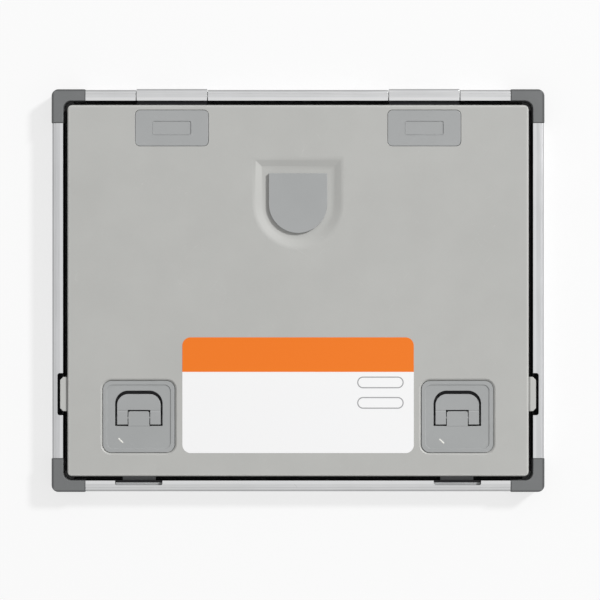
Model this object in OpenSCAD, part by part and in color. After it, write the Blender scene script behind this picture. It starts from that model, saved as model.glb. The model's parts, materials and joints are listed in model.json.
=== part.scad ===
// Film cassette for x-ray work: an aluminium rail frame with a front panel, and a hinged back cover
// that two lift-up flaps latch. The cassette lies on its front, with the back cover up.
// X runs along the hinge, +Y points to the hinge side and +Z to the back cover.

/* [Cassette] */
// Width along the hinge
case_w = 328; // [300:1:350]
// Depth from the latch side to the hinge side
case_d = 268; // [250:1:290]
// Thickness over the rails
case_t = 15; // [14.6:0.1:16]

/* [Frame] */
// Width of the frame's lip on the back
lip_w = 7.6; // [7.2:0.1:9]
// Thickness of the lip
lip_t = 1.6; // [1.2:0.1:2]
// Wall of the rail extrusion
rail_wall = 1.4; // [1:0.1:1.6]
// Radius of the rail's outer edges
rail_edge_r = 1.8; // [0.8:0.1:2.2]
// Distance of the decorative step from the rail's outer face
step_in = 2.9; // [2.4:0.1:3.4]
// Drop of the lip outside that step
step_drop = 0.35; // [0.2:0.05:0.6]
// How far the corner pieces stand proud of the rails
corner_proud = 0.3; // [0.1:0.1:0.6]
// Leg of a corner piece
corner_leg = 22.5; // [18:0.5:28]
// Outer radius of a corner piece
corner_r = 4.5; // [2:0.5:7]
// Length of the spigot that enters a rail
spigot_l = 16; // [10:1:24]

/* [Front] */
// Thickness of the frame's front lip
front_lip_t = 1.2; // [0.8:0.1:1.6]
// Width of the frame's front lip
front_lip_w = 11; // [9:0.5:12]
// Thickness of the front panel
front_panel_t = 2; // [1.6:0.1:2.4]
// Depth that the panel's edge enters the frame, measured from the frame's outer face
panel_edge_in = 3.8; // [3.2:0.1:5]
// Thickness of the web that carries the light seal
web_t = 1.2; // [0.8:0.1:1.6]
// Width of the film window across the long side
window_margin = 13; // [12.6:0.1:15]
// Thickness of an intensifying screen
screen_t = 0.4; // [0.3:0.05:0.5]
// Space that the film takes between the screens
film_gap = 0.25; // [0.2:0.05:0.3]
// Thickness of the felt light seal
seal_t = 0.9; // [0.6:0.1:1.2]

/* [Cover] */
// Gap between the frame's lip and the cover
cover_gap = 2.7; // [2.2:0.1:3.2]
// Corner radius of the cover
cover_r = 4; // [2:0.5:6]
// Radius along the cover's top edge
cover_edge_r = 1.4; // [0.6:0.1:2]
// Thickness of the cover's face
cover_t = 2.2; // [1.8:0.1:2.4]
// Thickness of the cover's skirt
skirt_t = 2.2; // [1.6:0.1:2.6]
// How far the cover lies below the rails
cover_drop = 0.1; // [0:0.05:0.3]
// Thickness of a rib under the cover
rib_t = 1.6; // [1.2:0.1:2.4]
// Number of ribs across the width
ribs_x = 6; // [3:1:9]
// Number of ribs across the depth
ribs_y = 5; // [3:1:8]
// Thickness of the pressure plate
plate_t = 0.8; // [0.5:0.1:1]
// Thickness of the lead foil
foil_t = 0.15; // [0.1:0.05:0.2]
// Thickness of the foam pad
foam_t = 2.2; // [1.8:0.1:2.4]

/* [Side tabs] */
// Distance of a side tab's middle from the latch-side edge
tab_edge = 65.1; // [55:0.1:75]
// Length of a side tab
tab_l = 22.8; // [18:0.2:26]
// How far a side tab stands out of the cover
tab_out = 4.8; // [3.6:0.1:5.2]
// Play at each end of a side tab in the rail's notch
tab_play = 2.6; // [1.8:0.1:3.5]
// Play between a side tab's tip and the notch
tab_tip_play = 1.6; // [1:0.1:2]
// Drop of the tab's top below the cover
tab_drop = 1.3; // [0.8:0.1:2]
// Thickness of a side tab
tab_t = 4; // [3:0.1:4.4]

/* [Hinges] */
// Distance of each hinge's middle from the side edge
hinge_edge = 80; // [66:0.5:92]
// Length of a hinge knuckle
knuckle_l = 47; // [40:0.5:50]
// Seam beside the knuckle
knuckle_seam = 0.5; // [0.3:0.1:1]
// How far the knuckle's outer face stands proud of the rail's
knuckle_proud = 0.6; // [0.3:0.1:0.8]
// Height of the hinge axis below the rail's top
axis_drop = 4; // [3.6:0.1:4.4]
// Distance of the hinge axis from the frame's outer face
axis_in = 4.4; // [4.2:0.1:4.8]
// Diameter of the hinge pin
hinge_pin_d = 3; // [2:0.1:3.2]
// How far the hinge pin enters the rail on each side
hinge_pin_in = 9; // [6:0.5:14]
// Thickness of the hinge leaf
leaf_t = 1.6; // [1.2:0.1:1.8]
// How far the plate over a hinge leaf reaches past the knuckle's ends
hinge_plate_over = 1; // [0.8:0.1:2]
// Width of that plate
hinge_plate_w = 24.2; // [20:0.2:26]
// Distance of that plate from the cover's edge
hinge_plate_in = 3.4; // [3:0.1:4.5]
// Corner radius of that plate
hinge_plate_r = 3.3; // [2:0.1:5]
// Width of the shallow mark on that plate
mark_w = 25.3; // [16:0.1:30]
// Height of that mark
mark_h = 9; // [5:0.1:12]
// Diameter of the hinge screws
screw_d = 2.8; // [2:0.1:3]

/* [Back insert] */
// Half width of the D-shaped insert
insert_r = 19.5; // [16:0.1:22]
// Distance of the insert's straight edge from the hinge-side edge
insert_edge = 55.9; // [50:0.1:62]
// Height of the insert from its straight edge to its round one
insert_h = 39.8; // [38:0.2:48]
// Height of the insert over its recess
insert_t = 2; // [1.4:0.1:2.2]
// Width of the bevel round the recess
insert_bevel = 6.2; // [4:0.1:7]
// Ledge above the insert's straight edge
insert_ledge = 3.6; // [2:0.1:5]
// Ledge beside the insert
insert_side = 3.7; // [2:0.1:5]
// Ledge below the insert's round edge
insert_below = 7.3; // [4:0.1:9]

/* [Latches] */
// Distance of each latch's middle from the side edge
latch_edge = 58; // [54:0.5:66]
// Distance of each latch's middle from the latch-side edge
latch_front = 50.1; // [48:0.1:56]
// Side of the square recess round a latch
latch_recess = 50.6; // [49:0.2:52]
// Corner radius of that recess
latch_recess_r = 7; // [5:0.1:8]
// Width of the bevel round that recess
latch_bevel = 1.3; // [1:0.1:2]
// Depth of the bevel
latch_bevel_t = 0.9; // [0.6:0.1:1.4]
// Wall of the latch housing
housing_wall = 1.5; // [1.2:0.1:2]
// How far the housing's rim lies below the cover's face
latch_drop = 0.1; // [0:0.05:0.2]
// Width of the housing's raised rim
rim_w = 2.6; // [1.8:0.1:3.4]
// Depth of the housing's face below the rim
dish_t = 0.5; // [0.3:0.05:0.6]
// Depth of a flap below the housing's face
flap_drop = 0.1; // [0:0.05:0.2]
// Width of a latch flap
flap_w = 29; // [28:0.2:31]
// Reach of a flap in front of the latch's middle
flap_front = 15; // [14:0.1:16]
// Corner radius of a flap
flap_r = 7.4; // [5:0.1:9]
// Thickness of a flap
flap_t = 1.5; // [1.2:0.1:1.6]
// Finger gap in front of a flap
finger_gap = 2.3; // [1.5:0.1:2.5]
// Gap beside a flap
side_gap = 1.3; // [0.5:0.1:1.5]
// Gap between a flap's ears and the fixed knuckle
knuckle_gap = 0.5; // [0.4:0.1:0.8]
// Gap between a flap and the front of the fixed knuckle
fold_gap = 0.8; // [0.6:0.1:1]
// Place of a flap's pivot behind the latch's middle
pivot_back = 0.8; // [0.4:0.1:1.2]
// Depth of the pivot below the flap's top
pivot_drop = 1.9; // [1.85:0.05:2]
// Diameter of a latch pin
latch_pin_d = 2; // [1.4:0.1:2]
// Reach of a flap's ears behind the pivot
ear_back = 4.5; // [4:0.1:4.7]
// Reach of the fixed knuckle in front of the pivot
knuckle_front = 4.4; // [4:0.1:5]
// Width of the fixed knuckle between the ears
latch_knuckle_w = 14; // [12:0.2:14.4]
// Radius from the pivot to the middle of a crank's tip
crank_r = 3; // [2.8:0.05:3.1]
// Angle through which a flap lifts
flap_angle = 60; // [50:1:60]
// Radius of a crank's tip
crank_tip_r = 0.9; // [0.7:0.05:1]
// Thickness of a bolt
bolt_t = 2; // [1.6:0.1:2.1]
// Width of a bolt's tongue
bolt_w = 22; // [18:0.5:24]
// How far a bolt's tongue reaches under the lip
bolt_catch = 2.2; // [1.6:0.1:2.6]
// Thickness of the plate under a latch
base_t = 0.8; // [0.6:0.1:1]
// Width of the notch over a strike
strike_w = 31.4; // [28:0.2:34]
// Depth of that notch into the lip
strike_in = 3; // [2.4:0.1:3.6]

/* [Label] */
// Distance of the label from the side edges
label_side = 87; // [84:1:100]
// Height of the label
label_h = 77; // [60:1:80]
// Distance of the label's middle from the latch-side edge
label_edge = 64.4; // [62:0.2:70]
// Corner radius of the label
label_r = 5.5; // [3:0.5:8]

/* [Hidden] */
$fn = 64;

eps = 0.01;          // overshoot of a cut
skin = 0.05;         // thickness of the thin plate at the foot of a bevel
fit = 0.2;           // clearance round a piece that drops into its seat
slide_fit = 0.1;     // clearance over and under a sliding piece
pin_fit = 0.05;      // clearance round a pin
free = 0.35;         // clearance round a piece that swings

half_w = case_w / 2;
half_d = case_d / 2;
rail_out = corner_proud;                    // outer face of the rails, from the frame's outline
inner_wall = lip_w - rail_wall;             // inner wall of the rails
rail_w_l = case_w - 2 * corner_leg;         // length of the rails along X
rail_d_l = case_d - 2 * corner_leg;         // length of the rails along Y

hinge_x = half_w - hinge_edge;              // places from the middle
latch_x = half_w - latch_edge;
latch_y = half_d - latch_front;
tab_y = half_d - tab_edge;
insert_y = half_d - insert_edge;
label_y = half_d - label_edge;
label_w = case_w - 2 * label_side;

panel_z = front_lip_t;
web_z = panel_z + front_panel_t;
seal_z = web_z + web_t;
skirt_z = seal_z + seal_t;
back_screen_z = web_z + screen_t + film_gap;
foam_z = back_screen_z + screen_t;
foil_z = foam_z + foam_t;
plate_z = foil_z + foil_t;
inside_z = plate_z + plate_t;               // where the cover's ribs end
cover_z = case_t - cover_drop;              // the cover's face
cover_under = cover_z - cover_t;

cover_in = lip_w + cover_gap;               // cover's edge, from the frame's outline
cover_w = case_w - 2 * cover_in;
cover_d = case_d - 2 * cover_in;
window_w = case_w - 2 * window_margin;
window_d = case_d - 2 * window_margin;

axis_z = case_t - axis_drop;
leaf_z = axis_z;
port_wall = 1.2;                            // metal round the pin's bore in the rail
knuckle_r = 4;                              // barrel of the hinge knuckle
sill_z = seal_z + 0.5;                      // rail's height under a knuckle
hinge_plate_l = knuckle_l + 2 * hinge_plate_over;
hinge_plate_y = half_d - cover_in - hinge_plate_in - hinge_plate_w / 2;
leaf_margin = 1.5;                          // from the leaf's end to its cover plate's
pad_margin = 2;                             // pads under the cover reach past what they carry
screw_pitch = knuckle_l * 0.34;
screw_back = 4;                             // hinge screws, from the middle of the plate
head_t = 1.2;                               // countersunk head
head_out = 2.4;                             // head's diameter over the screw's
screw_floor = 0.6;                          // material left under a hinge screw
plate_rim = 3;                              // the hinge plate is hollow inside this rim
plate_hollow = 0.6;
mark_t = 0.2;
peg_d = 3;                                  // pegs under the insert
peg_l = 2;
tab_chamfer = 2;
tab_notch_l = tab_l + 2 * tab_play;
tab_notch_in = lip_w - cover_in + tab_out + tab_tip_play;

latch_z = cover_z - latch_drop;             // the housing's rim
dish_z = latch_z - dish_t;                  // the housing's face
flap_top = dish_z - flap_drop;
flap_z = flap_top - flap_t;
pivot_z = flap_top - pivot_drop;
knuckle_top = dish_z - 0.1;
base_top = inside_z + base_t;
bolt_z = base_top + slide_fit;
bolt_top = bolt_z + bolt_t;
housing_w = latch_recess - 2 * latch_bevel - 2 * fit;
housing_r = latch_recess_r - latch_bevel - fit;
flange_out = 3.4;                           // rim of the housing under the cover's face
flange_t = 1.2;
latch_screw_d = 2;
latch_head_d = 3;
latch_head_t = 1;
barrel_wall = 0.85;                         // metal round the pin in a flap's ears
groove_w = 1;                               // groove across a flap's ears
groove_t = 0.3;
post_x = 13;                                // posts that hold the spring's ends
post_y = 9.6;                               // their front face, from the pivot
post_w = 2;
spring_half = 12;
spring_t = 0.35;
travel = crank_r * 2 * sin(flap_angle / 2); // how far a flap draws its bolt
ear_edge = ear_back + 0.9;                  // opening's edge behind the pivot
knuckle_root = 3;                           // how far the fixed knuckle enters the housing's face
crank_x = 13;                               // middle of each crank, from the latch's middle
crank_w = 2.6;
crank_arm_w = 1.4;
slot_wall = 1.4;                            // wall round a crank's slot in the bolt
crank_play = 0.45;                          // play of a crank's tip in its slot
tongue_l = half_d - latch_y - pivot_back - lip_w + bolt_catch; // from the pivot to the tongue's tip

// A rectangle with round corners, centred
module round_rect(w, d, r) {
    square([w - 2 * r, d], center = true);
    square([w, d - 2 * r], center = true);
    for (x = [-1, 1], y = [-1, 1])
        translate([x * (w / 2 - r), y * (d / 2 - r)]) circle(r);
}

// A plate with round corners, standing on its height z
module plate(w, d, r, z, t) {
    translate([0, 0, z]) linear_extrude(t) round_rect(w, d, r);
}

// Puts its children on one side of the frame: x along the side, y inward, z up
module on_side(angle, half) {
    rotate([0, 0, angle]) translate([0, -half, 0]) children();
}

// Extrudes an outline of y and z along a length centred on x
module along(l) {
    translate([-l / 2, 0, 0]) rotate([90, 0, 90]) linear_extrude(l) children();
}

// Outline of a rail, from its outer face inward
module rail_section(port) {
    difference() {
        union() {
            difference() {
                translate([rail_out, 0]) square([lip_w - rail_out, case_t]);
                for (z = [0, case_t - step_drop])
                    outer_edge(z, z == 0 ? 1 : -1);
                translate([rail_out - eps, case_t - step_drop]) square([step_in - rail_out, 1]);
                translate([rail_out + rail_wall, seal_z])
                    square([inner_wall - rail_out - rail_wall, case_t - lip_t - seal_z]);
            }
            translate([rail_out + rail_edge_r, 0])
                square([front_lip_w - rail_out - rail_edge_r, front_lip_t]);
            translate([lip_w - eps, web_z]) square([window_margin - lip_w + eps, web_t]);
            if (port) translate([axis_in, axis_z]) circle(hinge_pin_d / 2 + pin_fit + port_wall);
        }
        translate([panel_edge_in, panel_z]) square([window_margin, front_panel_t]);
        if (port) translate([axis_in, axis_z]) circle(hinge_pin_d / 2 + pin_fit);
    }
}

// What the rail's round outer edge takes away, at the bottom or at the top
module outer_edge(z, up) {
    difference() {
        translate([rail_out - eps, up > 0 ? z - eps : z - rail_edge_r])
            square([rail_edge_r + eps, rail_edge_r + eps]);
        translate([rail_out + rail_edge_r, z + up * rail_edge_r]) circle(rail_edge_r);
    }
}

module rail(angle, half, l, port) {
    on_side(angle, half) along(l) rail_section(port);
}

// Hinge-side rail, cut away where the two knuckles turn
module rail_hinge_side() {
    color("gainsboro") difference() {
        rail(180, half_d, rail_w_l, true);
        for (side = [-1, 1])
            on_side(180, half_d) translate([side * hinge_x, 0, 0])
                translate([-knuckle_l / 2 - knuckle_seam, -1, sill_z])
                    cube([knuckle_l + 2 * knuckle_seam, lip_w + 1 + eps, case_t]);
    }
}

// Latch-side rail, with a notch and a window for each bolt
module rail_latch_side() {
    color("gainsboro") difference() {
        rail(0, half_d, rail_w_l, false);
        for (side = [-1, 1]) on_side(0, half_d) translate([side * latch_x, 0, 0]) {
            translate([0, lip_w, bolt_top + free + lip_t])
                linear_extrude(case_t) round_rect(strike_w, 2 * strike_in, 1);
            translate([-bolt_w / 2 - 1, inner_wall - eps, bolt_z - free])
                cube([bolt_w + 2, rail_wall + 1, bolt_t + 2 * free]);
        }
    }
}

// Side rail, with a notch for the cover's tab
module side_rail(angle) {
    notch_z = cover_z - tab_drop - tab_t - free;
    color("gainsboro") difference() {
        rail(angle, half_w, rail_d_l, false);
        on_side(angle, half_w) translate([-sign(angle) * tab_y, lip_w, notch_z])
            linear_extrude(case_t) round_rect(tab_notch_l, 2 * tab_notch_in, 1.6);
    }
}

// Corner piece with a spigot for each of its two rails, for the corner at +X and +Y
module corner(sx, sy) {
    color("dimgray") mirror([sx < 0 ? 1 : 0, 0, 0]) mirror([0, sy < 0 ? 1 : 0, 0]) {
        difference() {
            intersection() {
                union() {
                    difference() {
                        plate(case_w, case_d, corner_r, 0, case_t);
                        plate(case_w - 2 * lip_w, case_d - 2 * lip_w, cover_r + 1.5,
                              -1, case_t + 2);
                    }
                    difference() {
                        plate(case_w - lip_w, case_d - lip_w, corner_r, 0, seal_z);
                        plate(window_w, window_d, 2, -1, case_t);
                    }
                }
                translate([half_w - corner_leg, half_d - corner_leg, 0])
                    cube([corner_leg, corner_leg, case_t]);
            }
            plate(case_w - 2 * panel_edge_in, case_d - 2 * panel_edge_in, 1,
                  panel_z, front_panel_t);
            plate(case_w - 2 * front_lip_w, case_d - 2 * front_lip_w, 1, -1, panel_z + 1);
        }
        spigot(half_w - corner_leg, half_d, 0);
        spigot(half_d - corner_leg, half_w, 1);
    }
}

// Spigot that starts at a corner piece's leg and fills the low part of the rail's chamber
module spigot(start, half, turned) {
    place = rail_out + rail_wall + slide_fit;
    width = inner_wall - place - slide_fit;
    high = axis_z - hinge_pin_d / 2 - port_wall - 2 * slide_fit - seal_z;
    if (turned == 0)
        translate([start - spigot_l, half - place - width, seal_z])
            cube([spigot_l + 1, width, high]);
    else
        translate([half - place - width, start - spigot_l, seal_z])
            cube([width, spigot_l + 1, high]);
}

module front_panel() {
    color("lightgray")
        plate(case_w - 2 * panel_edge_in - fit, case_d - 2 * panel_edge_in - fit, 1,
              panel_z, front_panel_t);
}

module front_screen() {
    color("ivory") plate(window_w - 1, window_d - 1, 1, web_z, screen_t);
}

// Felt strips on the frame's web, under the cover's skirt
module light_seal() {
    width = window_margin - lip_w - 2 * fit;
    color("black") {
        for (side = [[0, half_d], [180, half_d]])
            on_side(side[0], side[1]) translate([-half_w + lip_w + 6, lip_w + fit, seal_z])
                cube([case_w - 2 * lip_w - 12, width, seal_t]);
        for (side = [[90, half_w], [-90, half_w]])
            on_side(side[0], side[1])
                translate([-half_d + window_margin + fit, lip_w + fit, seal_z])
                    cube([case_d - 2 * window_margin - 2 * fit, width, seal_t]);
    }
}

// Strike inside the latch-side rail: a bridge that the bolt's tongue catches under
module strike(side) {
    wide = strike_w - 2 * fit;
    deep = inner_wall - rail_out - rail_wall - 2 * slide_fit;
    color("gray") on_side(0, half_d)
        translate([side * latch_x, rail_out + rail_wall + slide_fit, seal_z]) difference() {
            translate([-wide / 2, 0, 0]) cube([wide, deep, bolt_top + free + lip_t - seal_z]);
            translate([-bolt_w / 2 - 1, -eps, -eps])
                cube([bolt_w + 2, deep + 1, bolt_top + free - seal_z]);
        }
}

module hinge_pin(side) {
    l = knuckle_l + 2 * knuckle_seam + 2 * hinge_pin_in;
    color("silver") on_side(180, half_d)
        translate([-side * hinge_x, axis_in, axis_z]) rotate([0, 90, 0])
            cylinder(h = l, d = hinge_pin_d, center = true);
}

// The cover's outer form: its top edges are round along both sides
module cover_block() {
    intersection() {
        plate(cover_w, cover_d, cover_r, skirt_z, cover_z - skirt_z);
        along(cover_w + 2) cover_outline(cover_d);
        rotate([0, 0, 90]) along(cover_d + 2) cover_outline(cover_w);
    }
}

module cover_outline(span) {
    translate([-span / 2, skirt_z - 1]) square([span, cover_z - skirt_z + 1 - cover_edge_r]);
    translate([-span / 2 + cover_edge_r, skirt_z])
        square([span - 2 * cover_edge_r, cover_z - skirt_z]);
    for (side = [-1, 1])
        translate([side * (span / 2 - cover_edge_r), cover_z - cover_edge_r])
            circle(cover_edge_r);
}

// Outline of the D: a straight edge at the top and a half round below
module d_outline(half, top, bottom) {
    translate([0, bottom + half]) circle(half);
    translate([-half, bottom + half]) square([2 * half, top - bottom - half]);
}

// Outline of the recess round the insert, grown by a margin
module recess_outline(grow) {
    d_outline(insert_r + insert_side + grow, insert_y + insert_ledge + grow,
              insert_y - insert_h - insert_side - grow);
}

module back_cover() {
    inner_w = cover_w - 2 * skirt_t;
    inner_d = cover_d - 2 * skirt_t;
    pocket_z = cover_z - insert_t;
    color([0.72, 0.72, 0.7]) {
        difference() {
            union() {
                difference() {
                    cover_block();
                    plate(inner_w, inner_d, 2, skirt_z - 1, cover_under - skirt_z + 1);
                }
                for (i = [1 : ribs_x])
                    translate([(i / (ribs_x + 1) - 0.5) * inner_w - rib_t / 2, -inner_d / 2, inside_z])
                        cube([rib_t, inner_d, cover_under - inside_z + eps]);
                for (i = [1 : ribs_y])
                    translate([-inner_w / 2, (i / (ribs_y + 1) - 0.5) * inner_d - rib_t / 2, inside_z])
                        cube([inner_w, rib_t, cover_under - inside_z + eps]);
                // Pads under the hinge leaves and under the insert
                for (side = [-1, 1])
                    translate([side * hinge_x - hinge_plate_l / 2 - pad_margin,
                               hinge_plate_y - hinge_plate_w / 2 - pad_margin, inside_z])
                        cube([hinge_plate_l + 2 * pad_margin,
                              inner_d / 2 - hinge_plate_y + hinge_plate_w / 2 + pad_margin + eps,
                              cover_under - inside_z + eps]);
                translate([0, 0, inside_z]) linear_extrude(cover_under - inside_z + eps)
                    recess_outline(insert_bevel + rib_t);
            }
            for (side = [-1, 1]) {
                translate([side * latch_x, -latch_y, 0]) latch_cut();
                translate([side * hinge_x, hinge_plate_y, 0]) hinge_cut();
            }
            // Recess round the insert
            hull() {
                translate([0, 0, cover_z]) linear_extrude(1) recess_outline(insert_bevel, $fn = 48);
                translate([0, 0, pocket_z]) linear_extrude(skin) recess_outline(0, $fn = 48);
            }
            peg_places() translate([0, 0, pocket_z - peg_l - fit])
                cylinder(h = case_t, d = peg_d + 2 * pin_fit);
        }
        for (side = [-1, 1]) side_tab(side);
    }
}

module peg_places() {
    for (x = [-1, 1]) translate([x * insert_r / 2, insert_y - insert_r, 0]) children();
}

// Recess, opening and bolt channel for one latch
module latch_cut() {
    opening = housing_w + 2 * fit;
    hull() {
        plate(latch_recess, latch_recess, latch_recess_r, cover_z, 1, $fn = 32);
        plate(opening, opening, housing_r + fit, cover_z - latch_bevel_t, skin, $fn = 32);
    }
    plate(opening, opening, housing_r + fit, cover_under - 1, case_t);
    plate(housing_w + 2 * flange_out + 2 * fit, housing_w + 2 * flange_out + 2 * fit,
          housing_r + flange_out, inside_z - 1, cover_under - inside_z + 1);
    translate([-bolt_w / 2 - 2, -half_d + latch_y, inside_z - 1])
        cube([bolt_w + 4, half_d - latch_y, bolt_top + free - inside_z + 1]);
    latch_screw_places() translate([0, 0, cover_under - eps])
        cylinder(h = cover_t - 0.8, d = screw_hole_d());
}

function screw_hole_d() = latch_screw_d + 2 * pin_fit;

module latch_screw_places() {
    place = housing_w / 2 + flange_out / 2;
    for (x = [-1, 1], y = [-1, 1]) translate([x * (place - 4), y * place, 0]) children();
}

// Recess for a hinge leaf and its cover plate, with the slot through the skirt
module hinge_cut() {
    plate(hinge_plate_l, hinge_plate_w, hinge_plate_r, leaf_z, case_t);
    translate([-knuckle_l / 2 - knuckle_seam, 0, leaf_z])
        cube([knuckle_l + 2 * knuckle_seam, half_d, leaf_t + slide_fit]);
    hinge_screw_places() translate([0, 0, inside_z + screw_floor])
        cylinder(h = case_t, d = screw_d + 2 * pin_fit);
}

module hinge_screw_places() {
    for (x = [-1, 0, 1]) translate([x * screw_pitch, -screw_back, 0]) children();
}

module side_tab(side) {
    tab_z = cover_z - tab_drop - tab_t;
    root = cover_w / 2 - 1;
    tip = cover_w / 2 + tab_out;
    translate([0, -tab_y, tab_z]) linear_extrude(tab_t)
        polygon([[side * root, -tab_l / 2], [side * (tip - tab_chamfer), -tab_l / 2],
                 [side * tip, -tab_l / 2 + tab_chamfer], [side * tip, tab_l / 2 - tab_chamfer],
                 [side * (tip - tab_chamfer), tab_l / 2], [side * root, tab_l / 2]]);
}

// Hinge leaf: the knuckle in the rail and the plate that is screwed to the cover
module hinge_leaf(side) {
    face = rail_out - knuckle_proud;
    inner = half_d - hinge_plate_y + hinge_plate_w / 2 - leaf_margin;
    color("silver") on_side(180, half_d) translate([-side * hinge_x, 0, 0]) difference() {
        along(knuckle_l) difference() {
            union() {
                translate([axis_in, axis_z]) circle(knuckle_r);
                translate([face + rail_edge_r, axis_z])
                    square([lip_w - face - rail_edge_r, case_t - axis_z]);
                translate([face, axis_z - 1]) square([lip_w - face, 1 + case_t - axis_z - rail_edge_r]);
                translate([face + rail_edge_r, case_t - rail_edge_r]) circle(rail_edge_r);
                translate([axis_in, leaf_z]) square([inner - axis_in, leaf_t]);
            }
            translate([axis_in, axis_z]) circle(hinge_pin_d / 2 + pin_fit);
        }
        translate([0, half_d - hinge_plate_y, 0]) rotate([0, 0, 180]) hinge_screw_places() {
            translate([0, 0, leaf_z - 1]) cylinder(h = leaf_t + 2, d = screw_d + 2 * fit);
            translate([0, 0, leaf_z + leaf_t - head_t])
                cylinder(h = head_t + eps, d1 = screw_d + 2 * fit, d2 = screw_d + 2 * fit + head_out);
        }
    }
}

module hinge_plate(side) {
    bottom = leaf_z + leaf_t;
    color([0.64, 0.66, 0.67]) translate([side * hinge_x, hinge_plate_y, 0]) difference() {
        plate(hinge_plate_l - 2 * fit, hinge_plate_w - 2 * fit, hinge_plate_r - fit,
              bottom, cover_z - bottom);
        plate(mark_w, mark_h, 1, cover_z - mark_t, 1);
        plate(hinge_plate_l - 2 * plate_rim, hinge_plate_w - 2 * plate_rim, 1,
              bottom - 1, 1 + plate_hollow);
    }
}

module hinge_screws() {
    tip = inside_z + screw_floor + fit;
    top = leaf_z + leaf_t;
    color("silver") for (side = [-1, 1])
        translate([side * hinge_x, hinge_plate_y, 0]) hinge_screw_places() {
            translate([0, 0, tip]) cylinder(h = top - tip, d = screw_d);
            translate([0, 0, top - head_t])
                cylinder(h = head_t, d1 = screw_d, d2 = screw_d + head_out);
        }
}

// D-shaped insert with two pegs
module back_insert() {
    color([0.64, 0.66, 0.67]) {
        translate([0, 0, cover_z - insert_t]) linear_extrude(insert_t)
            d_outline(insert_r, insert_y, insert_y - insert_h);
        peg_places() translate([0, 0, cover_z - insert_t - peg_l])
            cylinder(h = peg_l + eps, d = peg_d);
    }
}

module at_latch(side) {
    translate([side * latch_x, -latch_y, 0]) children();
}

// Opening in the latch's face: the flap's outline with its gaps
module flap_opening() {
    arch(flap_w + 2 * side_gap, pivot_back + ear_edge, flap_front + finger_gap, flap_r + side_gap);
}

// Outline with two round corners at the front
module arch(wide, back, front, r) {
    translate([-wide / 2, -back]) square([wide, front + back - r]);
    translate([-wide / 2 + r, -back]) square([wide - 2 * r, front + back]);
    for (x = [-1, 1]) translate([x * (wide / 2 - r), front - r]) circle(r);
}

// Latch housing: a face with the flap's opening, four walls, a rim and the fixed knuckle
module latch_housing(side) {
    inner = housing_w - 2 * housing_wall;
    color([0.64, 0.66, 0.67]) at_latch(side) difference() {
        union() {
            difference() {
                union() {
                    plate(housing_w, housing_w, housing_r, base_top, latch_z - base_top);
                    plate(housing_w + 2 * flange_out, housing_w + 2 * flange_out,
                          housing_r + flange_out, cover_under - flange_t, flange_t);
                }
                plate(inner, inner, 2, base_top - 1, flap_z - fit - base_top + 1);
                plate(housing_w - 2 * rim_w, housing_w - 2 * rim_w, 4, dish_z, 1);
                translate([0, 0, base_top]) linear_extrude(case_t) flap_opening();
            }
            translate([0, -pivot_back, bolt_top + free])
                linear_extrude(knuckle_top - bolt_top - free)
                    arch(latch_knuckle_w, ear_edge + knuckle_root, knuckle_front, 1.5);
        }
        translate([0, -pivot_back, pivot_z]) rotate([0, 90, 0])
            cylinder(h = latch_knuckle_w + 2, d = latch_pin_d + 2 * pin_fit, center = true);
        translate([-bolt_w / 2 - free, -housing_w, base_top - 1])
            cube([bolt_w + 2 * free, housing_w - 5, bolt_top + free - base_top + 1]);
        latch_screw_places() translate([0, 0, cover_under - flange_t - 1])
            cylinder(h = flange_t + 2, d = screw_hole_d() + fit);
    }
}

// Plate under a latch, with a tongue that guides the bolt and two posts for the spring
module latch_base(side) {
    l = half_d - cover_in - skirt_t - fit - latch_y;
    color("silver") at_latch(side) {
        plate(housing_w, housing_w, housing_r, inside_z, base_t);
        translate([-bolt_w / 2 - 1, -l, inside_z]) cube([bolt_w + 2, l - housing_w / 2 + 5, base_t]);
        for (x = [-1, 1])
            translate([x * post_x - post_w / 2, -pivot_back + post_y, base_top - eps])
                cube([post_w, post_w, bolt_t + eps]);
    }
}

module latch_pin(side) {
    color("silver") at_latch(side) translate([0, -pivot_back, pivot_z]) rotate([0, 90, 0])
        cylinder(h = flap_w - 1, d = latch_pin_d, center = true);
}

module latch_screws() {
    color("silver") for (side = [-1, 1]) at_latch(side) latch_screw_places() {
        translate([0, 0, cover_under - flange_t])
            cylinder(h = cover_t + flange_t - 1, d = latch_screw_d);
        translate([0, 0, cover_under - flange_t - latch_head_t])
            cylinder(h = latch_head_t, d = latch_head_d);
    }
}

// Bowed leaf spring between the bolt's bar and the two posts
module latch_spring(side) {
    bow = post_y - bar_back();
    r = (spring_half * spring_half + bow * bow) / (2 * bow);
    color("silver") at_latch(side)
        translate([0, -pivot_back + bar_back() + r, bolt_z + fit]) intersection() {
            linear_extrude(bolt_t - 2 * fit) difference() {
                circle(r, $fn = 96);
                circle(r - spring_t, $fn = 96);
            }
            translate([-spring_half, -r - 1, -1]) cube([2 * spring_half, bow + 1 - fit, bolt_t + 2]);
        }
}

// Crank's tip at rest, from the pivot
function tip_y() = -crank_r * sin(flap_angle / 2);
function tip_z() = -crank_r * cos(flap_angle / 2);
// Back face of the bolt's bar at rest, from the pivot
function bar_back() = tip_y() + crank_tip_r + crank_play + slot_wall;

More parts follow.
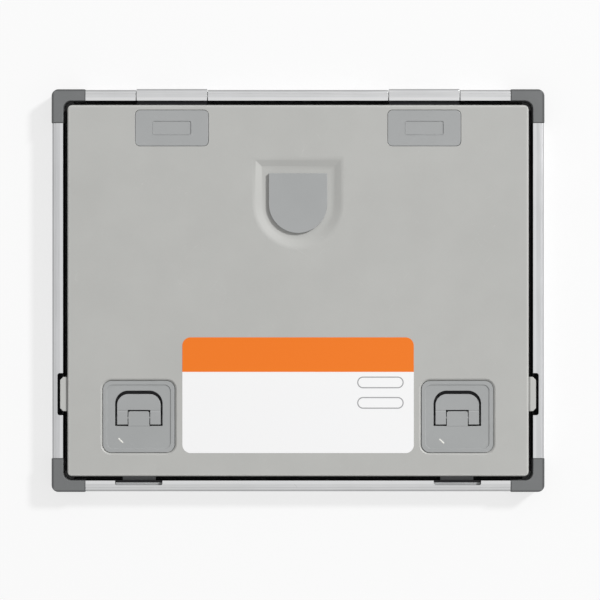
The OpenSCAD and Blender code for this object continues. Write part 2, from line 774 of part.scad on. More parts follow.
// Latch flap: a D-shaped plate with two ears on the pin and a crank under each
module latch_flap(side) {
    ear_gap = latch_knuckle_w + 2 * knuckle_gap;
    fold_y = knuckle_front + fold_gap - pivot_back;
    barrel_r = latch_pin_d / 2 + barrel_wall;
    color([0.64, 0.66, 0.67]) at_latch(side) difference() {
        union() {
            translate([0, 0, flap_z]) linear_extrude(flap_t) difference() {
                arch(flap_w, pivot_back + ear_back, flap_front, flap_r);
                translate([-ear_gap / 2, -pivot_back - ear_back - 1])
                    square([ear_gap, pivot_back + ear_back + 1 + fold_y]);
            }
            for (x = [-1, 1]) translate([x * (flap_w + ear_gap) / 4, -pivot_back, pivot_z]) {
                along((flap_w - ear_gap) / 2) {
                    circle(barrel_r);
                    translate([-barrel_r, 0]) square([2 * barrel_r, flap_z - pivot_z + 1]);
                }
                translate([x * (crank_x - (flap_w + ear_gap) / 4), 0, 0]) along(crank_w) {
                    translate([tip_y(), tip_z()]) circle(crank_tip_r);
                    rotate(-flap_angle / 2) translate([-crank_arm_w / 2, -crank_r])
                        square([crank_arm_w, crank_r]);
                }
            }
        }
        translate([0, -pivot_back, pivot_z]) rotate([0, 90, 0])
            cylinder(h = flap_w + 2, d = latch_pin_d + 2 * pin_fit, center = true);
        translate([0, 0, flap_top]) along(flap_w + 2)
            polygon([[fold_y, eps], [fold_y, 0], [fold_y - groove_w / 2, -groove_t],
                     [fold_y - groove_w, 0], [fold_y - groove_w, eps]]);
    }
}

// Latch bolt: a bar with a slot for each crank, a neck under the pin and a tongue
module latch_bolt(side) {
    bar_front = tip_y() - crank_tip_r - crank_play - slot_wall;
    color([0.3, 0.31, 0.33]) at_latch(side) translate([0, -pivot_back, bolt_z])
        linear_extrude(bolt_t) difference() {
            union() {
                translate([-crank_x - 3, bar_front]) square([2 * crank_x + 6, bar_back() - bar_front]);
                translate([-latch_knuckle_w / 2, -tongue_l / 2]) square([latch_knuckle_w, tongue_l / 2]);
                translate([-bolt_w / 2, -tongue_l]) square([bolt_w, tongue_l - ear_edge - travel - 1]);
            }
            for (x = [-1, 1])
                translate([x * crank_x - crank_w / 2 - free, tip_y() - crank_tip_r - crank_play])
                    square([crank_w + 2 * free, 2 * (crank_tip_r + crank_play)]);
        }
}

module pressure_plate() {
    color("silver") plate(cover_w - 2 * skirt_t - 2 * fit, cover_d - 2 * skirt_t - 2 * fit, 2, plate_z, plate_t);
}

module lead_foil() {
    color("slategray") plate(window_w - 1, window_d - 1, 1, foil_z, foil_t);
}

module foam_pad() {
    color([0.25, 0.25, 0.26]) plate(window_w - 1, window_d - 1, 1, foam_z, foam_t);
}

module back_screen() {
    color("ivory") plate(window_w - 1, window_d - 1, 1, back_screen_z, screen_t);
}

module label() {
    color("white") translate([0, -label_y, 0]) plate(label_w, label_h, label_r, cover_z, cover_drop);
}

rail_hinge_side();
rail_latch_side();
side_rail(-90);  // rail_left
side_rail(90);  // rail_right
corner(-1, 1);  // corner_hinge_left
corner(1, 1);  // corner_hinge_right
corner(-1, -1);  // corner_latch_left
corner(1, -1);  // corner_latch_right
front_panel();
front_screen();
light_seal();
strike(-1);  // strike_left
strike(1);  // strike_right
hinge_pin(-1);  // hinge_pin_left
hinge_pin(1);  // hinge_pin_right
back_cover();
hinge_leaf(-1);  // hinge_leaf_left
hinge_leaf(1);  // hinge_leaf_right
hinge_plate(-1);  // hinge_plate_left
hinge_plate(1);  // hinge_plate_right
hinge_screws();
back_insert();
latch_housing(-1);  // latch_housing_left
latch_housing(1);  // latch_housing_right
latch_base(-1);  // latch_base_left
latch_base(1);  // latch_base_right
latch_pin(-1);  // latch_pin_left
latch_pin(1);  // latch_pin_right
latch_screws();
latch_spring(-1);  // latch_spring_left
latch_spring(1);  // latch_spring_right
latch_flap(-1);  // latch_flap_left
latch_flap(1);  // latch_flap_right
latch_bolt(-1);  // latch_bolt_left
latch_bolt(1);  // latch_bolt_right
pressure_plate();
lead_foil();
foam_pad();
back_screen();
label();
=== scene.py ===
# %% [markdown]
# # A film cassette for x-ray work
# The cassette is a shallow tray of aluminium rails with a panel at the front, and a hinged back
# cover that two small flaps latch. It lies on its front, and the camera looks straight down on
# the back cover. All its rigid parts come from the construction model as a fixed frame, in metres.
# This lesson rounds their edges, adds the soft and printed pieces, and gives each its finish.
# %% Load the frame
import json
import math

import bmesh
import bpy
from mathutils import Matrix, Vector, noise

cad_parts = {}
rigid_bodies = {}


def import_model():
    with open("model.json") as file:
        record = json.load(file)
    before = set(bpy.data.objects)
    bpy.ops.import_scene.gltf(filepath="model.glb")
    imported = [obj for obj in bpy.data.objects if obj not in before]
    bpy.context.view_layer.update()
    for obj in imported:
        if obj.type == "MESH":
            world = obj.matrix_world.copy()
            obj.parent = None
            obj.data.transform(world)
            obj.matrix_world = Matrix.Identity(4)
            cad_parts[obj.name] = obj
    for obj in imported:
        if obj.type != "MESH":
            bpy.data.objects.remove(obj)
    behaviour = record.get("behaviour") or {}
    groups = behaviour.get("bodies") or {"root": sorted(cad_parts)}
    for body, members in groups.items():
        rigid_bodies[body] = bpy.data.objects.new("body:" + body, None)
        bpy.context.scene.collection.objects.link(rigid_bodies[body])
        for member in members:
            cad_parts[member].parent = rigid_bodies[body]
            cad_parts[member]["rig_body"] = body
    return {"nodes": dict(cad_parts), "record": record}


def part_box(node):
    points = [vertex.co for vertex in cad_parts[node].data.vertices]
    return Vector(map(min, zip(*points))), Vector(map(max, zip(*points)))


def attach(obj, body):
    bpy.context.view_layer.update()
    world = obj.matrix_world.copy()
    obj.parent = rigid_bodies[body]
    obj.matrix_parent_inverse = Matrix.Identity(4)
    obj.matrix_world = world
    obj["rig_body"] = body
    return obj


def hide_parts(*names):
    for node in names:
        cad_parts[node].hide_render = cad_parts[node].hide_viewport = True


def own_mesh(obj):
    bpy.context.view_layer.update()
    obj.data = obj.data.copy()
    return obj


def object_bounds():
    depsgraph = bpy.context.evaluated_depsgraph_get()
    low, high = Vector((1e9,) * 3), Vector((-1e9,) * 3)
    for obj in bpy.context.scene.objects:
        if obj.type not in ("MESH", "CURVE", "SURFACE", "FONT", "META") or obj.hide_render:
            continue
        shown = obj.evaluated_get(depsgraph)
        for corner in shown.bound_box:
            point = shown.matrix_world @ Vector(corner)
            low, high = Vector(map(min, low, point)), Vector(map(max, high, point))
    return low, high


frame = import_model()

MM = 0.001
cad_low, cad_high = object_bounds()
slot_of = {p["node"]: p["material_slot"] for p in frame["record"]["subparts"]}
print("nodes", len(frame["nodes"]), "box in mm", [round(c / MM, 2) for c in cad_high - cad_low])

# %% [markdown]
# ## Camera
# The photograph is taken from straight above, from far enough away that no side of the rails
# shows. A long lens does the same. The picture is 600 pixels wide, and a pixel is 0.6653 mm on the
# back cover, so the lens and that width give the camera's height. The cassette sits a little left
# of and above the middle of the picture, so the camera moves the other way instead of shifting.
# %% Camera
PICTURE, PIXEL = 600, 0.6653 * MM
PIXELS_RIGHT, PIXELS_DOWN = 1.95, 9.4
camera_data = bpy.data.cameras.new("camera")
camera_data.lens = 120
camera = bpy.data.objects.new("camera", camera_data)
bpy.context.scene.collection.objects.link(camera)
bpy.context.scene.camera = camera
height = PICTURE * PIXEL * camera_data.lens / camera_data.sensor_width
camera.location = (PIXELS_RIGHT * PIXEL, -PIXELS_DOWN * PIXEL, cad_high.z + height)
camera_data.clip_start, camera_data.clip_end = 0.01, 50
print("camera height in m", round(camera.location.z, 3))

# %% [markdown]
# ## Shader maths in Python
# A finish is worked out from where a point lies on the piece. Building each Math node by hand
# hides the idea, so a small class wraps one output socket, and plus, minus and times add the
# nodes. Its other methods are the few more steps of arithmetic that the finishes need.
# %% Sockets that can be added and multiplied
class Field:
    """One output socket. Arithmetic on it adds Math nodes."""

    def __init__(self, nodes, socket):
        self.nodes, self.socket = nodes, socket

    def math(self, operation, *values):
        return self.nodes.node("ShaderNodeMath", {"operation": operation}, dict(enumerate(values)))

    def __add__(self, other):
        return self.math("ADD", self, other)

    __radd__ = __add__

    def __sub__(self, other):
        return self.math("SUBTRACT", self, other)

    def __rsub__(self, other):
        return self.math("SUBTRACT", other, self)

    def __mul__(self, other):
        return self.math("MULTIPLY", self, other)

    __rmul__ = __mul__

    def __abs__(self):
        return self.math("ABSOLUTE", self)

    def most(self, other):
        return self.math("MAXIMUM", self, other)

    def root(self):
        return self.math("SQRT", self)

    def rise(self, low, high):
        """0 below low, 1 above high and a soft step between; low above high turns it round."""
        return self.nodes.node("ShaderNodeMapRange", {"interpolation_type": "SMOOTHSTEP"},
                               {"Value": self, "From Min": low, "From Max": high})

# %% [markdown]
# ## Nodes by one method
# Every other node comes from one method, which takes a node's type, its settings and its inputs.
# Materials and the world both have a node tree, so both use it. A colour can't go through a Math
# node, which turns it grey, so colours are blended with a Mix node.
# %% Nodes of a material or of the world
MIX_FACTOR, MIX_LOW, MIX_HIGH, MIX_COLOUR = 0, 6, 7, 2


class Nodes:
    """The nodes of one material or of the world."""

    def __init__(self, owner):
        owner.use_nodes = True
        self.tree = owner.node_tree
        self.tree.nodes.clear()

    def node(self, kind, settings=None, inputs=None, out=0):
        """One node: its settings are set first, and then its inputs, as values or as links."""
        made = self.tree.nodes.new(kind)
        for name, value in (settings or {}).items():
            setattr(made, name, value)
        for name, value in (inputs or {}).items():
            if isinstance(value, Field):
                self.tree.links.new(value.socket, made.inputs[name])
            else:
                made.inputs[name].default_value = value
        return Field(self, made.outputs[out]) if made.outputs else made

    def ray(self, kind):
        """1 for a ray of this kind and 0 for any other, or the ray's length."""
        return self.node("ShaderNodeLightPath", out=kind)

    def blend(self, factor, low, high):
        """A colour between two colours."""
        low, high = [c if isinstance(c, Field) else (*c, 1) for c in (low, high)]
        return self.node("ShaderNodeMix", {"data_type": "RGBA"},
                         {MIX_FACTOR: factor, MIX_LOW: low, MIX_HIGH: high}, MIX_COLOUR)

# %% [markdown]
# ## What every finish shares
# Real surfaces differ from place to place: a slow cloud, a fine grain and a few hairline
# scratches. All are made from noise on the piece's own coordinates in millimetres, so a pattern
# stays on its piece when the piece moves. The shader itself is the Principled one throughout.
# %% A finish
class Finish(Nodes):
    """One material, painted by where a point lies on its piece."""

    def __init__(self, name):
        self.material = bpy.data.materials.new(name)
        super().__init__(self.material)
        self.mm = self.vector("SCALE", self.node("ShaderNodeTexCoord", out="Object"), Scale=1 / MM)

    def vector(self, operation, a, b=None, **inputs):
        inputs[0] = a
        if b is not None:
            inputs[1] = b
        return self.node("ShaderNodeVectorMath", {"operation": operation}, inputs)

    def xyz(self):
        """The three parts of the place on the piece, in millimetres."""
        return [self.node("ShaderNodeSeparateXYZ", None, {0: self.mm}, out) for out in range(3)]

    def noise(self, per_mm, detail=2.0, stretch=(1, 1, 1), turn=0.0):
        """Noise with per_mm bumps in a millimetre, stretched along the axes and turned about Z."""
        place = self.node("ShaderNodeMapping", None, {"Vector": self.mm, "Rotation": (0, 0, turn)})
        place = self.vector("MULTIPLY", place, stretch)
        return self.node("ShaderNodeTexNoise", None,
                         {"Vector": place, "Scale": per_mm, "Detail": detail})

    def hairlines(self, turn, per_mm=0.35, width=0.004):
        """Long thin scratches, 1 on a scratch: the level lines of a noise stretched along them."""
        level = self.noise(per_mm, 1.0, (0.06, 1, 1), turn)
        return abs(level - 0.5).rise(width, width * 0.3)

    def surface(self, colour, roughness, height, depth, **constants):
        """The shader. height is 0 to 1 and depth is its full height in millimetres."""
        bump = self.node("ShaderNodeBump", None,
                         {"Height": height, "Strength": 1.0, "Distance": depth * MM})
        inputs = {"Base Color": colour, "Roughness": roughness, "Normal": bump, **constants}
        shader = self.node("ShaderNodeBsdfPrincipled", None, inputs)
        self.node("ShaderNodeOutputMaterial", None, {"Surface": shader})
        return self.material


finishes = {}


def tint(colour, factor, lift=0.0):
    """A colour made darker or paler."""
    return [min(1, c * factor + lift) for c in colour]

# %% [markdown]
# ## Moulded plastic
# The cover, the latches and the corner pieces are moulded plastic. A steel mould is spark eroded,
# which leaves a fine even grain of about a third of a millimetre, and the grain takes hairline
# scuffs with use. One function does all of them, because only colour, grain and wear differ.
# Three marks belong to single pieces: the cover's rim is painted paler, a painted highlight, with
# painted shade at the foot of its step; the corner pieces have dark seams where the rails push in,
# and are darker along their outer edge; and the latch tray is painted with shade inside, below a
# height.
# %% Moulded plastic
RIM_BAND, STEP_INSIDE, STEP_OUTSIDE = (-2.4, -1.2), (-1.1, -0.4), (1.3, 0.5)
STEP_HEIGHTS = (14.75, 14.2)
SEAM_BAND, CORNER_BAND = (0.9, 0.4), (-2.0, -0.9)
SHADE_DEPTH = 0.35


def rim_highlight_and_step_shade(paint, base, colour, rim):
    """rim is half an outline, in mm."""
    x, y, z = paint.xyz()
    past = (abs(x) - rim[0]).most(abs(y) - rim[1])
    # Painted highlight: a paler band just inside the rim.
    base = paint.blend(past.rise(*RIM_BAND) * 0.7, base, tint(colour, 1.16))
    # Painted shade: darker at the foot of the step round the rim, low down by the cover's edge.
    foot = past.rise(*STEP_INSIDE) * past.rise(*STEP_OUTSIDE) * z.rise(*STEP_HEIGHTS)
    return paint.blend(foot * 0.75, base, tint(colour, 0.35))


def dark_seams(paint, base, colour, rail_ends):
    """rail_ends are the places where the rails end, in mm."""
    x, y, _ = paint.xyz()
    seam = (abs(x) - rail_ends[0]).rise(*SEAM_BAND).most((abs(y) - rail_ends[1]).rise(*SEAM_BAND))
    past = (abs(x) - cad_high.x / MM).most(abs(y) - cad_high.y / MM)
    return paint.blend(seam.most(past.rise(*CORNER_BAND)) * 0.8, base, tint(colour, 0.45))


def moulded(name, colour, spread, roughness, grain=2.6, depth=0.012, scuffs=0.2,
            rim=None, rail_ends=None, shade_height=None):
    """rim and rail_ends are as above, and the plastic is painted with shade below the height
    shade_height, in mm.
    """
    paint = Finish(name)
    cloud = paint.noise(0.035, 3)
    speck = paint.noise(grain, 2)
    lines = paint.hairlines(0.6).most(paint.hairlines(-0.9, 0.28, 0.003))
    worn = lines * paint.noise(0.05, 1).rise(0.5, 0.7)
    shade = (cloud * 0.55 + speck * 0.45).rise(0.3, 0.7)
    base = paint.blend(shade, tint(colour, 1 - spread), tint(colour, 1 + spread))
    base = paint.blend(worn * scuffs, base, tint(colour, 1.35, 0.03))
    if rim:
        base = rim_highlight_and_step_shade(paint, base, colour, rim)
    if rail_ends:
        base = dark_seams(paint, base, colour, rail_ends)
    # Painted shade: the plastic turns dark below shade_height.
    if shade_height:
        height_in_mm = paint.xyz()[2]
        base = paint.blend(height_in_mm.rise(shade_height, shade_height - SHADE_DEPTH) * 0.9, base, tint(colour, 0.12))
    rough = roughness + (cloud - 0.5) * 0.12 + (speck - 0.5) * 0.06 - worn * 0.12
    finishes[name] = paint.surface(base, rough, speck - worn * 0.4, depth)
    print("moulded", name, "linear colour", colour)

# %% Plastics
COVER_RIM = (153.8, 123.8)
LATCH_TRAY_SHADE_HEIGHT = 14.05
ends = (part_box("rail_latch_side")[1].x / MM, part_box("rail_right")[1].y / MM)
print("the rails end at", [round(c, 1) for c in ends], "mm")
moulded("cover_plastic", (0.485, 0.486, 0.468), 0.03, 0.52, rim=COVER_RIM)
moulded("latch_plastic", (0.380, 0.389, 0.390), 0.03, 0.46, grain=3.2, depth=0.008)
# The latch tray is the latch plastic with painted shade inside, below its height.
moulded("latch_tray", (0.376, 0.386, 0.386), 0.03, 0.46, grain=3.2, depth=0.008,
        shade_height=LATCH_TRAY_SHADE_HEIGHT)
moulded("corner_plastic", (0.168, 0.173, 0.175), 0.07, 0.50, scuffs=0.32, rail_ends=ends)
moulded("bolt_plastic", (0.140, 0.143, 0.148), 0.08, 0.38, grain=4.0, depth=0.004)
moulded("strike_plastic", (0.42, 0.425, 0.43), 0.05, 0.45, grain=4.0, depth=0.004)

# %% [markdown]
# ## Extruded aluminium
# A rail is pressed through a die, so it carries fine lines along its whole length, and the anodised
# skin is satin. The lines are a noise that is stretched a hundred times along the rail. The rails
# along X and along Y need the stretch in different directions, so the direction is a parameter.
# The lip beside the cover is a little smoother, and is painted paler as a painted highlight. The
# channel under it is painted black, painted shade in the gap. Plates, pins and springs are drawn or
# rolled, and take the same fine lines.
# %% Extruded aluminium
ALONG_X, ALONG_Y, UP = 0, 1, 2
LIP_STEP, CHANNEL_TOP_STEP, CHANNEL_SIDE_STEP = 0.4, 0.5, 0.3
CHANNEL_FLOOR = (1.0, 1.4)
CHANNEL_SHADE = (0.03, 0.03, 0.032)


def extruded(name, along, colour, roughness, lip_end=None, shade_height=None, channel_end=None):
    """lip_end is where the smoother lip with its painted highlight ends, in mm from the middle of the
    cassette. The channel is painted black below the height shade_height, and out to channel_end from
    the middle: painted shade."""
    paint = Finish(name)
    place = paint.xyz()
    stretch = [0.01 if axis == along else 1.0 for axis in range(3)]
    lines = paint.noise(3.5, 3, stretch)
    fine = paint.noise(11.0, 2, stretch)
    bloom = paint.noise(0.03, 3)
    nicks = paint.hairlines(0.9, 0.5, 0.003) * paint.noise(0.08, 1).rise(0.52, 0.7)
    tone = lines * 0.5 + fine * 0.2 + bloom * 0.3
    base = paint.blend(tone.rise(0.3, 0.7), tint(colour, 0.93), tint(colour, 1.05))
    base = paint.blend(nicks * 0.35, base, tint(colour, 0.7))
    rough = roughness + (lines - 0.5) * 0.16 + (bloom - 0.5) * 0.1
    if lip_end:
        across = abs(place[1 - along])
        lip = across.rise(lip_end + LIP_STEP, lip_end - LIP_STEP)
        base = paint.blend(lip, base, tint(colour, 1.16))
        # Painted shade: black in the channel below shade_height, above its floor and out to
        # channel_end.
        black = place[UP].rise(shade_height, shade_height - CHANNEL_TOP_STEP) * place[UP].rise(*CHANNEL_FLOOR)
        black = black * across.rise(channel_end, channel_end - CHANNEL_SIDE_STEP)
        base = paint.blend(black, base, CHANNEL_SHADE)
        rough = rough - lip * 0.05 + black * 0.3
    height = lines * 0.7 + fine * 0.3 - nicks * 0.5
    finishes[name] = paint.surface(base, rough, height, 0.004, Metallic=1.0)
    print("extruded", name, "linear colour", colour)

# %% Metals
extruded("rail_x", ALONG_X, (0.76, 0.765, 0.77), 0.36, lip_end=128.6, shade_height=13.9, channel_end=131.4)
# The rails along Y are painted a little darker than those along X: painted shade, for how the lamp
# falls on their lines.
extruded("rail_y", ALONG_Y, (0.72, 0.725, 0.735), 0.36, lip_end=158.5, shade_height=13.9, channel_end=161.4)
# On the hinge leaves the black is painted shade where the strap crosses the gap.
extruded("hinge_aluminium", ALONG_X, (0.77, 0.775, 0.78), 0.34,
         lip_end=128.6, shade_height=13.6, channel_end=126.4)
extruded("plate", ALONG_Y, (0.70, 0.71, 0.72), 0.40)
extruded("steel", ALONG_X, (0.58, 0.58, 0.59), 0.26)
# Painted shade: the latches' base plates are near black, for the deep gap round the flaps.
extruded("black_steel", ALONG_X, (0.075, 0.075, 0.078), 0.55)

# %% [markdown]
# ## The front panel, lead and screens
# The tube side is a painted panel: a smooth coat with a slight orange peel. Lead foil is dull and
# blotched where it has oxidised. An intensifying screen is a white coating under a clear layer,
# very even, with a faint cloud where fingers and cleaning have been. All three are one function:
# a fine skin, a slow cloud and a few rubs, in different amounts.
# %% Paint, lead and screens
def painted(name, colour, peel, depth, roughness, spread, **constants):
    """peel is how many bumps the skin has in a millimetre."""
    paint = Finish(name)
    skin = paint.noise(peel, 2)
    cloud = paint.noise(0.02, 4)
    rub = paint.hairlines(1.1, 0.3, 0.003) * paint.noise(0.04, 1).rise(0.48, 0.66)
    base = paint.blend(cloud.rise(0.3, 0.7), tint(colour, 1 - spread), tint(colour, 1 + spread))
    base = paint.blend(rub * 0.3, base, tint(colour, 1.3, 0.02))
    rough = roughness + (cloud - 0.5) * 0.2 + (skin - 0.5) * 0.05
    finishes[name] = paint.surface(base, rough, skin - rub * 0.3, depth, **constants)
    print("painted", name, "linear colour", colour)


painted("panel", (0.36, 0.37, 0.39), 1.1, 0.01, 0.36, 0.03)
painted("lead", (0.20, 0.21, 0.23), 0.5, 0.02, 0.55, 0.18, Metallic=0.8)
painted("screen", (0.82, 0.82, 0.77), 2.0, 0.003, 0.50, 0.015)

# %% [markdown]
# ## Felt and foam
# Black felt closes the joint against light, and a foam pad presses the back screen on the film.
# Felt is a mat of fibres that scatters light along its surface, which the shader's sheen does.
# Foam shows its open cells: a cell pattern gives each cell a dark floor and a lighter wall.
# %% Felt and foam
def felt_finish():
    paint = Finish("felt")
    strands = paint.noise(5.0, 3, (0.3, 1, 1), 0.5).most(paint.noise(5.0, 3, (1, 0.3, 1), 0.2))
    tuft = paint.noise(0.9, 2)
    thick = (strands * 0.6 + tuft * 0.4).rise(0.35, 0.75)
    base = paint.blend(thick, (0.006, 0.006, 0.007), (0.028, 0.028, 0.03))
    finishes["felt"] = paint.surface(base, 0.92 + (tuft - 0.5) * 0.1, strands, 0.12, **{
        "Sheen Weight": 0.25, "Sheen Roughness": 0.6})


def foam_finish():
    paint = Finish("foam")
    cells = paint.node("ShaderNodeTexVoronoi", {"feature": "F1"}, {"Vector": paint.mm, "Scale": 1.6})
    cloud = paint.noise(0.05, 2)
    wall = cells.rise(0.15, 0.6)
    base = paint.blend(wall * 0.7 + cloud * 0.3, (0.02, 0.02, 0.022), (0.085, 0.085, 0.09))
    finishes["foam"] = paint.surface(base, 0.85 + (cloud - 0.5) * 0.1, wall, 0.15)


felt_finish()
foam_finish()
print("finishes so far", len(finishes))

# %% [markdown]
# ## The printed label
# The label is coated paper: a plain colour band over white, and two empty fields with a round end
# for handwritten notes. It carries no words. The print is worked out from the distance to a shape:
# a field's outline is where the distance to a stadium shape is within half a line's width.
# %% The printed label
label_low, label_high = [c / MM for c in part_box("label")]
BAND, PRINT_STEP = 23.0, 0.15
FIELDS = [(54.8, -61.1), (54.8, -74.7)]
FIELD_W, FIELD_H, LINE, LINE_STEP = 30.9, 7.8, 0.75, 0.1
INK_GREY = (0.25, 0.25, 0.26)


def field_outline(x, y, middle_x, middle_y):
    """1 on the outline of one empty field, in mm."""
    reach = (abs(x - middle_x) - (FIELD_W - FIELD_H) / 2).most(0)
    away = (reach * reach + (y - middle_y) * (y - middle_y)).root() - FIELD_H / 2
    return abs(away + LINE / 2).rise(LINE / 2 + LINE_STEP, LINE / 2 - LINE_STEP)


def label_finish():
    paint = Finish("label")
    x, y, _ = paint.xyz()
    fibre = paint.noise(1.8, 3)
    cloud = paint.noise(0.03, 2)
    ink = paint.noise(6.0, 2)
    white = paint.blend(fibre, (0.945, 0.945, 0.95), (0.98, 0.98, 0.98))
    orange = paint.blend(ink, (0.89, 0.182, 0.002), (0.94, 0.210, 0.006))
    edge = label_high.y - BAND
    base = paint.blend(y.rise(edge - PRINT_STEP, edge + PRINT_STEP), white, orange)
    upper, lower = [field_outline(x, y, *middle) for middle in FIELDS]
    line = upper.most(lower)
    base = paint.blend(line * 0.85, base, INK_GREY)
    rub = paint.hairlines(0.4, 0.3, 0.003) * cloud.rise(0.45, 0.6)
    rough = 0.42 + (cloud - 0.5) * 0.12 + rub * 0.2 + line * 0.1
    finishes["label"] = paint.surface(base, rough, fibre * 0.5 - rub * 0.5, 0.006)


label_finish()
print("label", [round(c, 1) for c in label_high - label_low], "mm")

# %% [markdown]
# ## Pieces that ride on a body
# Whatever this lesson adds has to move with the part of the cassette that it is fixed to. One
# function turns a bmesh into an object, smooths what is round, ties it to its body and gives it the
# finish that it is handed.
# %% Pieces that ride on a body
def make_piece(name, bm, body, finish, smooth=30):
    """Turns a bmesh into an object that rides on a body. smooth is in degrees."""
    mesh = bpy.data.meshes.new(name)
    bm.to_mesh(mesh)
    bm.free()
    mesh.polygons.foreach_set("use_smooth", [True] * len(mesh.polygons))
    mesh.set_sharp_from_angle(angle=math.radians(smooth))
    piece = bpy.data.objects.new(name, mesh)
    bpy.context.scene.collection.objects.link(piece)
    mesh.materials.append(finish)
    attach(piece, body)
    return piece


def merged_copy(node):
    """A bmesh copy of a node, with its loose triangles joined."""
    bm = bmesh.new()
    bm.from_mesh(frame["nodes"][node].data)
    bmesh.ops.remove_doubles(bm, verts=bm.verts, dist=0.002 * MM)
    return bm

# %% [markdown]
# ## Rounded edges
# No real edge is sharp: a mould, a die or a file leaves a small radius, and that radius is what
# catches the light. In a copy of a construction mesh, flat triangles are joined into whole faces,
# and only edges that really turn are bevelled. The copy then stands for the node, and a Weighted
# Normal modifier keeps its flat faces flat. The bevelled recess round the insert has gentle edges,
# which are moulded softer, so they get their own wide bevel first.
# %% Rounded edges
FLAT, SHARP_TURN = math.radians(0.6), math.radians(20)
GENTLE_TURNS = (math.radians(12), math.radians(25))
RECESS_REACH = 12 * MM


def bevel(bm, edges, radius, segments):
    bmesh.ops.bevel(bm, geom=edges, offset=radius * MM, offset_type="OFFSET", segments=segments,
                    profile=0.5, affect="EDGES", material=-1, clamp_overlap=False)


def gentle_edges(bm):
    """The edges of the recess: they turn a little, and lie near the insert."""
    insert_low, insert_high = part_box("back_insert")
    return [e for e in bm.edges if len(e.link_faces) == 2
            and GENTLE_TURNS[0] < e.calc_face_angle(0) < GENTLE_TURNS[1]
            and all(insert_low[axis] - RECESS_REACH < v.co[axis] < insert_high[axis] + RECESS_REACH
                    for v in e.verts for axis in range(3))]


def rounded(node, radius, finish, soft=0):
    """A copy with its edges rounded stands for the node. soft is the radius of gentle edges."""
    bm = merged_copy(node)
    bmesh.ops.dissolve_limit(bm, angle_limit=FLAT, use_dissolve_boundaries=False,
                             verts=bm.verts, edges=bm.edges)
    if soft:
        gentle = gentle_edges(bm)
        bevel(bm, gentle, soft, 3)
        print(f"{node}: {len(gentle)} gentle edges rounded to {soft} mm")
    turning = [e for e in bm.edges if len(e.link_faces) == 2 and e.calc_face_angle(0) > SHARP_TURN]
    bevel(bm, turning, radius, 2)
    open_edges = sum(1 for e in bm.edges if len(e.link_faces) != 2)
    print(f"{node}: {len(turning)} edges rounded to {radius} mm, {len(bm.faces)} faces, "
          f"{open_edges} open edges")
    body = frame["nodes"][node]["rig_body"]
    piece = make_piece(node + "_rounded", bm, body, finish)
    weighted = piece.modifiers.new("flat_faces", "WEIGHTED_NORMAL")
    weighted.keep_sharp = True
    weighted.weight = 100
    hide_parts(node)

# %% Round the pieces that show
for side in ("left", "right"):
    rounded("hinge_plate_" + side, 0.3, finishes["latch_plastic"])
    rounded("latch_housing_" + side, 0.2, finishes["latch_tray"])
    rounded("latch_flap_" + side, 0.25, finishes["latch_plastic"])
    rounded("corner_hinge_" + side, 0.5, finishes["corner_plastic"])
    rounded("corner_latch_" + side, 0.5, finishes["corner_plastic"])
    rounded("hinge_leaf_" + side, 0.2, finishes["hinge_aluminium"])
    rounded("rail_" + side, 0.15, finishes["rail_y"])
rounded("rail_hinge_side", 0.15, finishes["rail_x"])
rounded("rail_latch_side", 0.15, finishes["rail_x"])
rounded("back_insert", 0.3, finishes["latch_plastic"])
rounded("back_cover", 0.3, finishes["cover_plastic"], soft=1.4)

# %% [markdown]
# ## A painted glint on each latch
# Each latch carries one small bright pip below its flap: a painted glint, a white piece that stands
# for the lamp's reflection in the dished face of the latch. It is a ball that is drawn out into a
# capsule, flattened, turned and sunk into the face.
# %% Painted glints
GLINT_PLACES = {"left": (-12.1, -15.9), "right": (-10.4, -16.4)}
GLINT_RADIUS, GLINT_STRETCH, GLINT_FLATNESS, GLINT_TURN = 0.55 * MM, 1.7 * MM, 0.3, math.radians(-45)
FACE_BELOW_TOP = 0.5 * MM


def painted_glint(side):
    latch_low, latch_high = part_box("latch_housing_" + side)
    centre = (latch_low + latch_high) / 2
    x, y = GLINT_PLACES[side]
    bm = bmesh.new()
    bmesh.ops.create_uvsphere(bm, u_segments=20, v_segments=10, radius=GLINT_RADIUS)
    for v in bm.verts:
        off_middle = abs(v.co.x) > 1e-7
        v.co.x += math.copysign(GLINT_STRETCH, v.co.x) if off_middle else 0
    bmesh.ops.scale(bm, vec=(1, 1, GLINT_FLATNESS), verts=bm.verts)
    bmesh.ops.rotate(bm, matrix=Matrix.Rotation(GLINT_TURN, 3, "Z"), verts=bm.verts)
    bmesh.ops.translate(bm, verts=bm.verts, vec=(centre.x + x * MM, centre.y + y * MM,
                                                 latch_high.z - FACE_BELOW_TOP))
    make_piece("painted_glint_" + side, bm, "cover", finishes["screen"], 60)
    print("painted glint", side, "is", round(2 * (GLINT_RADIUS + GLINT_STRETCH) / MM, 2), "mm long")


painted_glint("left")
painted_glint("right")

# %% [markdown]
# ## Foam pad
# The pad is a sheet of soft foam, cut with a knife and held between the foil and the back screen.
# Its faces stay flat there, and its cut edge gives way: it is waisted and a little uneven. A box is
# cut finely along its rim, and the middle rows of the rim are drawn in.
# %% A box that is cut finely
def box_between(low, high):
    """A box as a bmesh."""
    bm = bmesh.new()
    bmesh.ops.create_cube(bm, size=1)
    bmesh.ops.scale(bm, vec=high - low, verts=bm.verts)
    bmesh.ops.translate(bm, vec=(low + high) / 2, verts=bm.verts)
    return bm


def cut_along(bm, axis, cuts):
    """Cuts every edge that runs along an axis, and the faces between them."""
    run = [e for e in bm.edges
           if abs(abs((e.verts[1].co - e.verts[0].co).normalized()[axis]) - 1) < 1e-4]
    bmesh.ops.subdivide_edges(bm, edges=run, cuts=cuts, use_grid_fill=True)

# %% Foam pad
FOAM_CUTS = (60, 48, 4)
DRAWN_IN, WAIST, UNEVEN = 0.25, 0.35, 0.15


